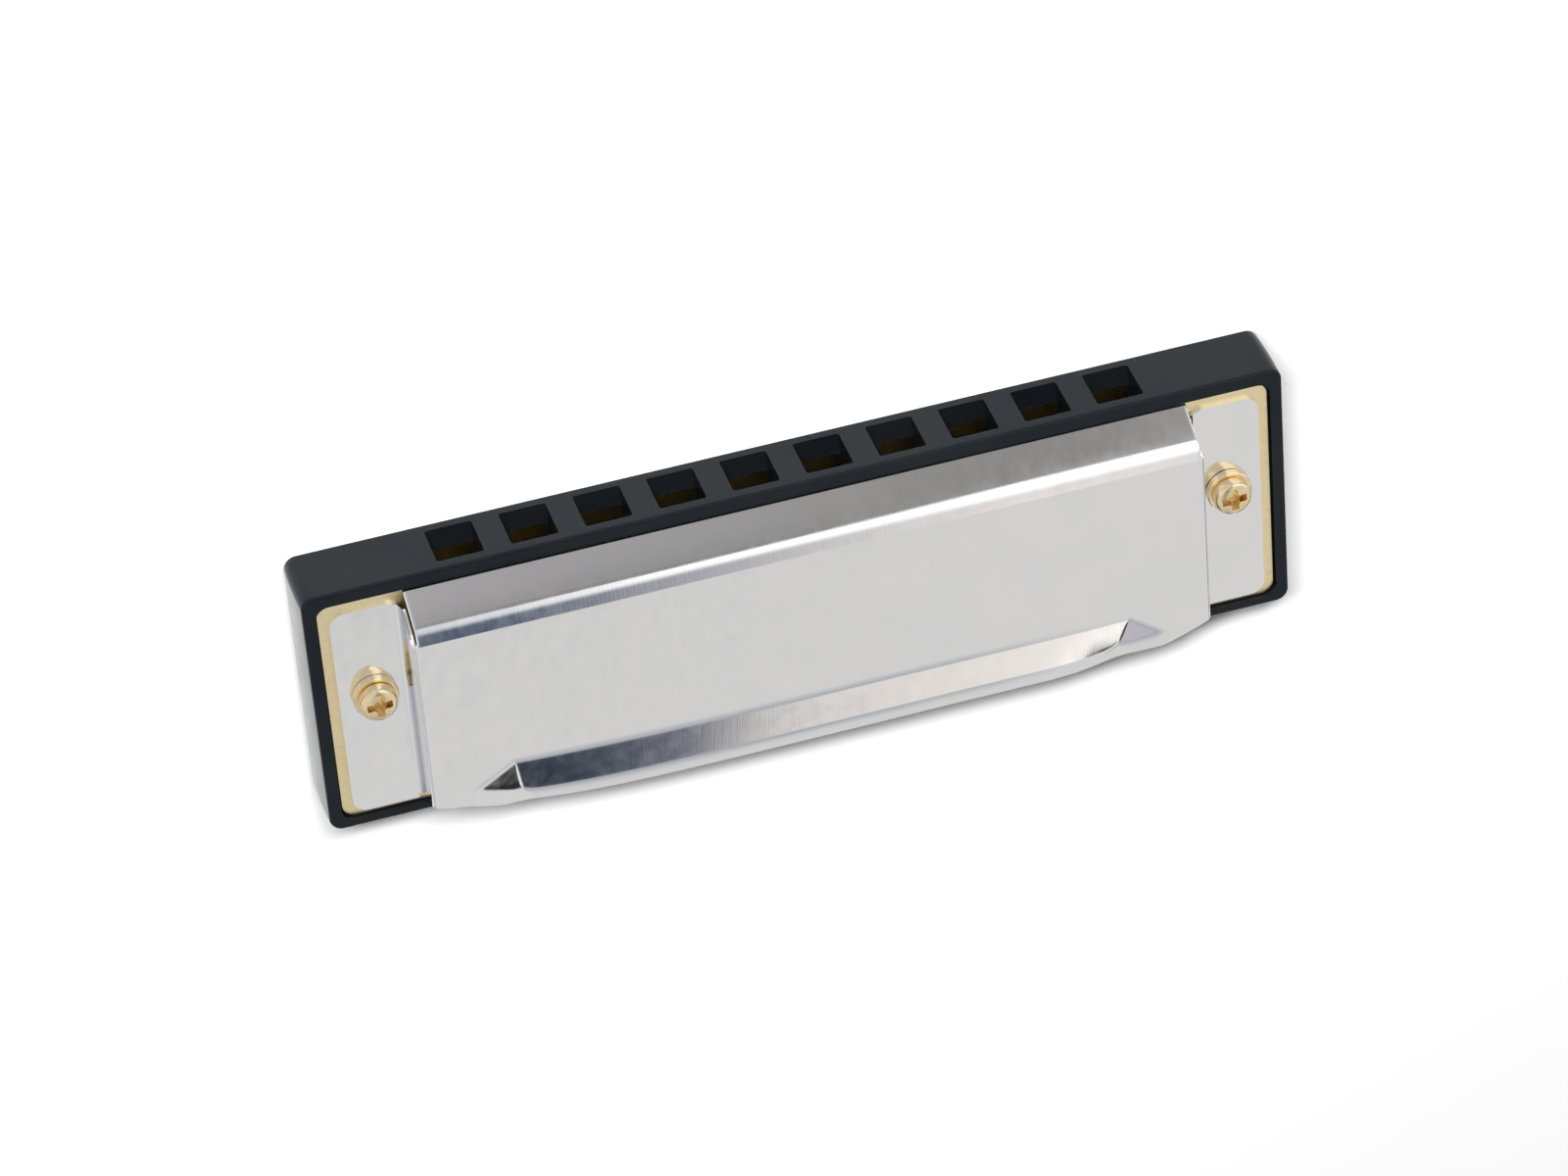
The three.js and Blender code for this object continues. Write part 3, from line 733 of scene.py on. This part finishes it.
def wall_columns(side, front):
    """Columns down the end wall and out along the flange of one side."""
    wall_top = COVER_TOP - WALL_BEND
    wall_foot = FLANGE_TOP + FLANGE_BEND
    places = [(WALL_X, z) for z in steps(5, wall_top, wall_foot)[1:-1]]
    for a in steps(6, 0, math.pi / 2):
        x = WALL_X + FLANGE_BEND * (1 - math.cos(a))
        places.append((x, FLANGE_TOP + FLANGE_BEND * (1 - math.sin(a))))
    flange_start = WALL_X + FLANGE_BEND
    places += [(flange_start + out, FLANGE_TOP) for out in (0.1, 0.25, 0.45, WALL_TURN_END, 1.0)]
    places += [(x, FLANGE_TOP) for x in (43, 44, 45)]
    along = []
    far = 0.0
    last = (WALL_X, wall_top)
    for place in places:
        far += math.dist(last, place)
        along.append(far)
        last = place
    turn_end = along[places.index((flange_start + WALL_TURN_END, FLANGE_TOP))] + 0.001
    columns = []
    for (x, z), far in zip(places, along):
        share = min(far / turn_end, 1)
        ellipse = math.sqrt(1 - (1 - share) ** 2)
        turn = WALL_TURN_ROUND * ellipse * share + (1 - WALL_TURN_ROUND) * smooth_step(share)
        columns.append((x, z, WALL_FRONT + (FLANGE_FRONT - WALL_FRONT) * turn, FLANGE_REAR))
    for a in steps(8, 0, math.pi / 2):
        back = FLANGE_CORNER * (1 - math.cos(a))
        x = FLANGE_END - FLANGE_CORNER * (1 - math.sin(a))
        columns.append((x, FLANGE_TOP, FLANGE_FRONT + back, FLANGE_REAR - back))
    shares = top_rows(WALL_X, side)
    made = []
    for x, z, front_y, rear_y in columns:
        rear = between(z, wall_top, FLANGE_TOP, WALL_REAR, WALL_REAR_FOOT)
        rear = min(rear, rear_y - WALL_INSET)
        points = [Vector((x, y, z)) for y, _, _ in front]
        for y in shares:
            points.append(Vector((x, between(y, shares[0], shares[-1], front_y, rear), z)))
        made.append(points + [Vector((x, rear_y, z))])
    return made


def sheet(columns, has_cell, thickness):
    """A sheet of even thickness from columns of points on its outer face."""
    height = len(columns[0])
    points = [point for column in columns for point in column]
    quads = []
    for i in range(len(columns) - 1):
        for j in range(height - 1):
            if has_cell(i, j):
                a, b = i * height + j, (i + 1) * height + j
                quads.append((a, b, b + 1, a + 1))
    normals = {}
    for quad in quads:
        a, b, c, d = (points[k] for k in quad)
        normal = (c - a).cross(d - b)
        for k in quad:
            normals[k] = normals.get(k, Vector()) + normal
    used = sorted(normals)
    place = {k: n for n, k in enumerate(used)}
    outer = [points[k] for k in used]
    inner = [points[k] - normals[k].normalized() * thickness for k in used]
    count = len(used)
    faces = []
    edges = set()
    for quad in quads:
        a, b, c, d = (place[k] for k in quad)
        faces.append((a, b, c, d))
        faces.append((a + count, d + count, c + count, b + count))
        edges.update(((a, b), (b, c), (c, d), (d, a)))
    for a, b in sorted(edges):
        if (b, a) not in edges:
            faces.append((a, a + count, b + count, b))
    return solid(outer + inner, faces)


def half_cover(side, front):
    """Columns of points from the middle of a cover outwards; x is counted outwards."""
    half = [inside_column(x, side, front) for x in INSIDE_X]
    half += [rolled_column(share, side, front) for share in steps(WALL_BEND_STEPS)]
    return half + wall_columns(side, front)


def cover():
    """A whole cover, its outer face up. The slope has no cells past the bend to the end wall, and
    the last row is there only to reach the rear edge of the flange."""
    front = front_profile()
    half = half_cover(1, front)
    other = half_cover(-1, front)
    wall_from = len(INSIDE_X) + WALL_BEND_STEPS + 1
    on_flange = [column[-2].z < FLANGE_TOP + 1e-6 for column in half]
    flange_from = on_flange.index(True)
    mirrored = [[Vector((-p.x, p.y, p.z)) for p in column] for column in reversed(other[1:])]
    columns = mirrored + half
    middle = len(mirrored)
    wall_row = len(front)
    last_row = len(half[0]) - 2

    def has_cell(i, j):
        out = max(i + 1 - middle, middle - i)
        if j >= last_row:
            return out > flange_from
        return out < wall_from or j >= wall_row

    low, high = FLANGE_TOP - SHEET - PAST, FLANGE_TOP + PAST
    holes = [prism(circle(SCREW_HOLE, 32, x, SCREW_Y), low, high) for x in (-SCREW_X, SCREW_X)]
    return cut(sheet(columns, has_cell, SHEET), joined(*holes))


# ---- Fasteners ----
def thread(low, high, radius, around=28):
    """A threaded shaft, closed at both ends."""
    count = round((high - low) / THREAD_PITCH * THREAD_STEPS)
    rings = []
    for z in steps(count, low, high):
        near_end = min((z - low) / THREAD_POINT, 1)
        ring = []
        for i in range(around):
            turn = (z / THREAD_PITCH - i / around) % 1
            groove = THREAD_DEPTH * (1 - abs(2 * turn - 1)) ** 0.8
            r = radius - groove - THREAD_POINT_DEPTH * (1 - near_end)
            a = 2 * math.pi * i / around
            ring.append((r * math.cos(a), r * math.sin(a), z))
        rings.append(ring)
    return loft(rings)


def frustum(size_low, size_high, low, high):
    """A tapered block; the sizes are its (x, y) at either end."""
    rings = []
    for size, z in ((size_low, low), (size_high, high)):
        x, y = size[0] / 2, size[1] / 2
        rings.append([(-x, -y, z), (x, -y, z), (x, y, z), (-x, y, z)])
    return loft(rings)


def cover_screw(turn):
    """A crowned head with a cross recess, on a threaded shaft."""
    low = SCREW_HIGH.z - SCREW_HEAD
    top = SCREW_HIGH.z
    radius = SCREW_HEAD_RADIUS
    crown = SCREW_HEAD_ROUND
    profile = [(radius - 0.1, low)] + arc(radius - 0.1, low + 0.1, 0.1, -60, 0, 3)
    profile += arc(radius - crown, top - 0.08 - crown, crown, 0, 80, 8)
    profile += [(radius * 0.55, top - 0.03), (radius * 0.25, top)]
    floor = top - RECESS_DEPTH
    high = top + RECESS_PAST
    arms = [
        frustum(RECESS_FLOOR, RECESS_TOP, floor, high),
        frustum(RECESS_FLOOR[::-1], RECESS_TOP[::-1], floor, high),
    ]
    centre = frustum((0.8, 0.8), (1.5, 1.5), floor - 0.15, high)
    head = cut(lathe(profile, 64), *arms, turned(centre, math.pi / 4, "Z"))
    shaft = thread(SCREW_LOW.z, low + 0.2, SCREW_RADIUS)
    return moved(turned(joined(head, shaft), turn, "Z"), 0, SCREW_Y)


def lock_washer(turn):
    """A split spring washer: one turn of square wire that rises by the gap it is to close."""
    rise = WASHER_THICKNESS - WASHER_WIRE
    ease = WASHER_EASE
    rings = []
    for t in steps(60):
        a = 2 * math.pi * (WASHER_SPLIT / 2 + (1 - WASHER_SPLIT) * t)
        low = FLANGE_TOP + rise * t
        high = low + WASHER_WIRE
        section = [
            (WASHER_BORE + ease, low),
            (WASHER_RADIUS - ease, low),
            (WASHER_RADIUS, low + ease),
            (WASHER_RADIUS, high - ease),
            (WASHER_RADIUS - ease, high),
            (WASHER_BORE + ease, high),
            (WASHER_BORE, high - ease),
            (WASHER_BORE, low + ease),
        ]
        rings.append([(r * math.cos(a), r * math.sin(a), z) for r, z in section])
    made = loft(rings)
    bmesh.ops.recalc_face_normals(made, faces=made.faces)
    return moved(turned(made, turn, "Z"), 0, SCREW_Y)


def nut():
    """A hexagon nut with bevelled corners and a countersunk bore."""
    high, low = -FLANGE_TOP, span("cover_nut_right")[0].z
    corner = NUT_FLATS / math.sqrt(3)
    hexagon = prism(circle(corner, 6), low, high)
    flat = NUT_FLATS / 2 * 0.98
    bevelled = [
        (flat, low - CLEAR),
        (corner + CLEAR, low + NUT_BEVEL),
        (corner + CLEAR, high - NUT_BEVEL),
        (flat, high + CLEAR),
    ]
    body = cut(hexagon, lathe(bevelled, 64), operation="INTERSECT")
    bore = [(NUT_BORE + 0.25, low - CLEAR), (NUT_BORE, low + 0.2), (NUT_BORE, high + 0.1)]
    return moved(cut(body, lathe(bore, 32)), 0, SCREW_Y)


def plate_screw(x):
    """A small slotted screw, head up, through a reed plate into the comb."""
    low = PLATE_HIGH.z
    top = low + TACK_HEAD
    radius = TACK_HEAD_RADIUS
    crown = TACK_HEAD_ROUND
    profile = [(radius, low)] + arc(radius - crown, top - CLEAR - crown, crown, 0, 80, 6)
    profile.append((radius * 0.3, top))
    half, depth = TACK_SLOT[0] / 2, TACK_SLOT[1]
    slot = box((-radius - PAST, radius + PAST), (-half, half), (top - depth, top + PAST))
    # The slots point different ways, as screws come to rest.
    head = cut(lathe(profile, 48), turned(slot, math.radians(20 + 3 * x), "Z"))
    return moved(joined(head, thread(TACK_END, low + 0.1, TACK_RADIUS, 20)), x, TACK_Y)


# ---- The harmonica ----
def make_harmonica():
    plastic, steel, brass = black_plastic(), polished_steel(), rolled_brass()
    reed, gilt, plated = reed_brass(), gilt_steel(), nickel()
    piece("comb_moulding", comb(), plastic, ["comb"], bevel=0.14, weighted=True)
    upper = reed_plate("blow")
    piece("upper_plate_sheet", upper, brass, ["upper_reed_plate"], bevel=0.05)
    lower = moved(reed_plate("draw"), z=-PLATE_LOW.z - PLATE_HIGH.z)
    piece("lower_plate_sheet", lower, brass, ["lower_reed_plate"], bevel=0.05)
    for kind in ("blow", "draw"):
        for hole in HOLES:
            name = f"{kind}_reed_{hole:02d}"
            foot = f"{kind}_reed_foot_{hole:02d}"
            piece(f"{kind}_tongue_{hole:02d}", reed_tongue(kind, hole), reed, [name], name)
            piece(f"{kind}_rivet_{hole:02d}", reed_foot(kind, hole), brass, [foot])
    piece("upper_cover_shell", cover(), steel, ["upper_cover"], bevel=0.1)
    piece("lower_cover_shell", turned(cover()), steel, ["lower_cover"], bevel=0.1)
    for end, x, recess_turn, split_turn in (("left", -SCREW_X, 4, 40), ("right", SCREW_X, 2, 150)):
        screw = moved(cover_screw(math.radians(recess_turn)), x)
        piece(f"pan_screw_{end}", screw, gilt, [f"cover_screw_{end}"])
        washer = moved(lock_washer(math.radians(split_turn)), x)
        piece(f"spring_washer_{end}", washer, gilt, [f"lock_washer_{end}"])
        piece(f"hexagon_nut_{end}", moved(nut(), x), plated, [f"cover_nut_{end}"])
    for number, x in enumerate(TACK_X, 1):
        names = [f"{side}_plate_screw_{number}" for side in ("upper", "lower")]
        piece(f"slotted_{names[0]}", plate_screw(x), gilt, [names[0]])
        # Turned over about Y, so it is made at -x to come out at x.
        piece(f"slotted_{names[1]}", turned(plate_screw(-x)), gilt, [names[1]])


# ---- Studio ----
CAMERA_PLACE = (137.9, -444.5, 554.4)
CAMERA_TURN = (-36.874, -16.842, 175.933)  # degrees; it looks down with the mouthpiece at the top
LENS = 167.72
DOME_RADIUS = 2.0
DOME_GLOW = 1.5
FLOOR_HALF = 3.0
KEY_PLACE = (0.173, -0.567, 0.652)  # in metres, as the dome and the floor
KEY_SIZE = (0.30, 0.07)
KEY_RADIANCE = 215


def add_camera():
    data = bpy.data.cameras.new("camera")
    data.lens = LENS
    data.sensor_width = 36
    data.clip_start = 0.01
    data.clip_end = 20
    camera = bpy.data.objects.new("camera", data)
    camera.location = MIDDLE + Vector(CAMERA_PLACE) * MM
    camera.rotation_euler = [math.radians(angle) for angle in CAMERA_TURN]
    bpy.context.scene.collection.objects.link(camera)
    bpy.context.scene.camera = camera


def mathed(tree, operation, *values):
    """A maths node over sockets or numbers."""
    made = tree.nodes.new("ShaderNodeMath")
    made.operation = operation
    for value, socket in zip(values, made.inputs):
        if isinstance(value, bpy.types.NodeSocket):
            tree.links.new(value, socket)
        else:
            socket.default_value = value
    return made.outputs[0]


def stepped(tree, value, start, end):
    """0 to 1 smoothly as value goes from start to end."""
    made = tree.nodes.new("ShaderNodeMapRange")
    made.interpolation_type = "SMOOTHSTEP"
    made.inputs["From Min"].default_value = start
    made.inputs["From Max"].default_value = end
    tree.links.new(value, made.inputs["Value"])
    return made.outputs["Result"]


def sloped(tree, value, start, slope, low, high):
    """(value - start) * slope, held between low and high."""
    line = mathed(tree, "MULTIPLY", mathed(tree, "SUBTRACT", value, start), slope)
    return mathed(tree, "MINIMUM", mathed(tree, "MAXIMUM", line, low), high)


def blended(tree, share, first, second):
    """first where share is 0 and second where it is 1."""
    made = tree.nodes.new("ShaderNodeMix")
    made.data_type = "RGBA"
    tree.links.new(share, made.inputs["Factor"])
    for socket, colour in (("A", first), ("B", second)):
        if isinstance(colour, bpy.types.NodeSocket):
            tree.links.new(colour, made.inputs[socket])
        else:
            made.inputs[socket].default_value = (*colour, 1)
    return made.outputs["Result"]


def radiance(red, green, blue):
    """The dome's colour for what is seen as (red, green, blue)."""
    return [channel / DOME_GLOW for channel in (red, green, blue)]


def ramp(tree, value, stops):
    """A colour that follows value through stops = [(value, (red, green, blue)), ...]."""
    low, high = stops[0][0], stops[-1][0]
    spread = tree.nodes.new("ShaderNodeMapRange")
    spread.inputs["From Min"].default_value = low
    spread.inputs["From Max"].default_value = high
    tree.links.new(value, spread.inputs["Value"])
    made = tree.nodes.new("ShaderNodeValToRGB")
    elements = made.color_ramp.elements
    while len(elements) < len(stops):
        elements.new(1.0)
    for element, (at, colour) in zip(elements, stops):
        element.position = (at - low) / (high - low)
        element.color = (*radiance(*colour), 1)
    tree.links.new(spread.outputs["Result"], made.inputs["Fac"])
    return made.outputs["Color"]


def studio_colour(tree):
    """What polished metal sees in each direction. `lean` is how far the direction turns to -X and
    `over` its angle over the harmonica, 0 at the rear horizon, 90 straight up, 180 in front."""
    place = tree.nodes.new("ShaderNodeTexCoord")
    axes = tree.nodes.new("ShaderNodeSeparateXYZ")
    tree.links.new(place.outputs["Object"], axes.inputs[0])
    x, y, z = axes.outputs
    away = mathed(tree, "SQRT", mathed(tree, "MULTIPLY_ADD", y, y, mathed(tree, "MULTIPLY", z, z)))
    lean = mathed(tree, "DIVIDE", mathed(tree, "MULTIPLY", x, -1), away)
    over = mathed(tree, "MULTIPLY", mathed(tree, "ARCTAN2", z, y), 180 / math.pi)

    rear = ramp(
        tree,
        lean,
        [
            (-0.10, (0.60, 0.58, 0.65)),
            (0.04, (0.56, 0.54, 0.62)),
            (0.10, (0.02, 0.03, 0.045)),
            (0.13, (0.045, 0.06, 0.085)),
            (0.15, (0.09, 0.105, 0.155)),
            (0.165, (0.18, 0.19, 0.25)),
            (0.172, (0.52, 0.51, 0.51)),
            (0.181, (0.82, 0.80, 0.77)),
            (0.205, (0.92, 0.86, 0.83)),
            (0.235, (1.00, 0.94, 0.885)),
            (0.262, (1.25, 1.2, 1.15)),
            (0.316, (1.15, 1.10, 1.05)),
        ],
    )
    # Beyond that the rear is unlit, from further to -X down by the horizon.
    lowered = sloped(tree, over, 14, 0.008, -0.05, 0)
    unlit = stepped(tree, mathed(tree, "ADD", lean, lowered), 0.283, 0.293)
    rear = blended(tree, unlit, rear, radiance(0.01, 0.015, 0.02))
    # Close over the horizon it is unlit too: up to 15 degrees, and only to 3 further to -X.
    raised = mathed(tree, "MULTIPLY_ADD", stepped(tree, lean, 0.220, 0.230), 12, over)
    near_horizon = mathed(tree, "SUBTRACT", 1, stepped(tree, raised, 15.1, 15.9))
    near_horizon = mathed(tree, "MULTIPLY", near_horizon, stepped(tree, lean, 0.10, 0.12))
    rear = blended(tree, near_horizon, rear, radiance(0.03, 0.04, 0.055))
    top = ramp(
        tree,
        over,
        [
            (24, (0.44, 0.47, 0.52)),
            (36, (0.56, 0.575, 0.60)),
            (45, (0.68, 0.68, 0.69)),
            (50, (0.775, 0.77, 0.765)),
            (54, (0.78, 0.775, 0.77)),
        ],
    )
    top = blended(tree, stepped(tree, lean, 0.215, 0.25), top, radiance(0.78, 0.775, 0.77))
    above = ramp(
        tree,
        lean,
        [
            (-0.20, (0.85, 0.84, 0.83)),
            (0.02, (0.75, 0.74, 0.73)),
            (0.10, (0.10, 0.13, 0.19)),
            (0.13, (0.07, 0.10, 0.16)),
            (0.143, (0.065, 0.10, 0.165)),
            (0.163, (0.42, 0.43, 0.49)),
            (0.183, (0.48, 0.475, 0.51)),
            (0.20, (0.80, 0.76, 0.76)),
            (0.223, (0.86, 0.82, 0.80)),
            (0.245, (1.00, 0.95, 0.92)),
            (0.30, (0.80, 0.80, 0.80)),
        ],
    )
    front = ramp(
        tree,
        lean,
        [
            (-0.20, (0.80, 0.79, 0.78)),
            (0.05, (0.60, 0.59, 0.59)),
            (0.143, (0.41, 0.40, 0.41)),
            (0.17, (0.40, 0.395, 0.40)),
            (0.20, (0.36, 0.355, 0.35)),
            (0.223, (0.31, 0.305, 0.295)),
            (0.25, (0.27, 0.265, 0.255)),
            (0.40, (0.75, 0.74, 0.73)),
        ],
    )
    # It is dimmer just under the softbox, less so far to -X.
    under_softbox = ramp(
        tree,
        lean,
        [
            (-0.20, (0.70, 0.69, 0.68)),
            (0.05, (0.50, 0.49, 0.49)),
            (0.143, (0.29, 0.285, 0.29)),
            (0.19, (0.27, 0.265, 0.265)),
            (0.223, (0.28, 0.275, 0.265)),
            (0.25, (0.26, 0.255, 0.245)),
        ],
    )
    front = blended(tree, stepped(tree, over, 161, 169), under_softbox, front)
    light = ramp(
        tree,
        lean,
        [(0.13, (0.70, 0.73, 0.77)), (0.143, (0.85, 0.87, 0.90)), (0.165, (1.35, 1.35, 1.35))],
    )
    # On the -X side the softbox reaches further to the rear overhead, and further down in front.
    rear_edge = mathed(tree, "ADD", over, sloped(tree, lean, 0.2, 300, 0, 12))
    front_edge = mathed(tree, "SUBTRACT", over, sloped(tree, lean, 0.17, 200, 0, 14))
    colour = blended(tree, stepped(tree, over, 19, 27), rear, top)
    colour = blended(tree, stepped(tree, over, 52.5, 56), colour, above)
    colour = blended(tree, stepped(tree, rear_edge, 104, 132), colour, light)
    return blended(tree, stepped(tree, front_edge, 146, 152), colour, front)


def add_dome():
    """The studio round the harmonica, seen only in reflections; it casts no light or shadow."""
    bm = bmesh.new()
    bmesh.ops.create_uvsphere(bm, u_segments=64, v_segments=32, radius=DOME_RADIUS)
    dome = plain_object(bm, "studio_dome")
    material = bpy.data.materials.new("studio_dome")
    material.use_nodes = True
    tree = material.node_tree
    tree.nodes.clear()
    out = tree.nodes.new("ShaderNodeOutputMaterial")
    glow = tree.nodes.new("ShaderNodeEmission")
    glow.inputs["Strength"].default_value = DOME_GLOW
    tree.links.new(glow.outputs[0], out.inputs["Surface"])
    tree.links.new(studio_colour(tree), glow.inputs["Color"])
    dome.data.materials.append(material)
    dome.visible_camera = False
    dome.visible_diffuse = False
    dome.visible_shadow = False
    dome.visible_transmission = False
    dome.visible_volume_scatter = False


def add_key_light():
    """A softbox that faces the harmonica; polished metal sees the dome instead."""
    light = bpy.data.lights.new("key_softbox", "AREA")
    light.shape = "RECTANGLE"
    light.size, light.size_y = KEY_SIZE
    light.energy = KEY_RADIANCE * math.pi * KEY_SIZE[0] * KEY_SIZE[1]
    made = bpy.data.objects.new("key_softbox", light)
    made.location = KEY_PLACE
    made.rotation_euler = (-Vector(KEY_PLACE)).to_track_quat("-Z", "Y").to_euler()
    made.visible_camera = False
    made.visible_glossy = False
    bpy.context.scene.collection.objects.link(made)


def add_floor():
    half = FLOOR_HALF
    corners = [(-half, -half, 0), (half, -half, 0), (half, half, 0), (-half, half, 0)]
    floor = plain_object(solid(corners, [(0, 1, 2, 3)]), "floor")
    material = bpy.data.materials.new("floor")
    material.use_nodes = True
    shader = material.node_tree.nodes["Principled BSDF"]
    shader.inputs["Base Color"].default_value = (0.8, 0.8, 0.8, 1)
    shader.inputs["Roughness"].default_value = 1.0
    shader.inputs["Specular IOR Level"].default_value = 0.0
    floor.data.materials.append(material)


def add_world():
    world = bpy.data.worlds.new("studio")
    bpy.context.scene.world = world
    world.use_nodes = True
    background = world.node_tree.nodes["Background"]
    background.inputs["Color"].default_value = (0.20, 0.20, 0.205, 1)


make_harmonica()
add_camera()
add_floor()
add_world()
add_key_light()
add_dome()
bpy.context.scene.view_settings.view_transform = "Standard"
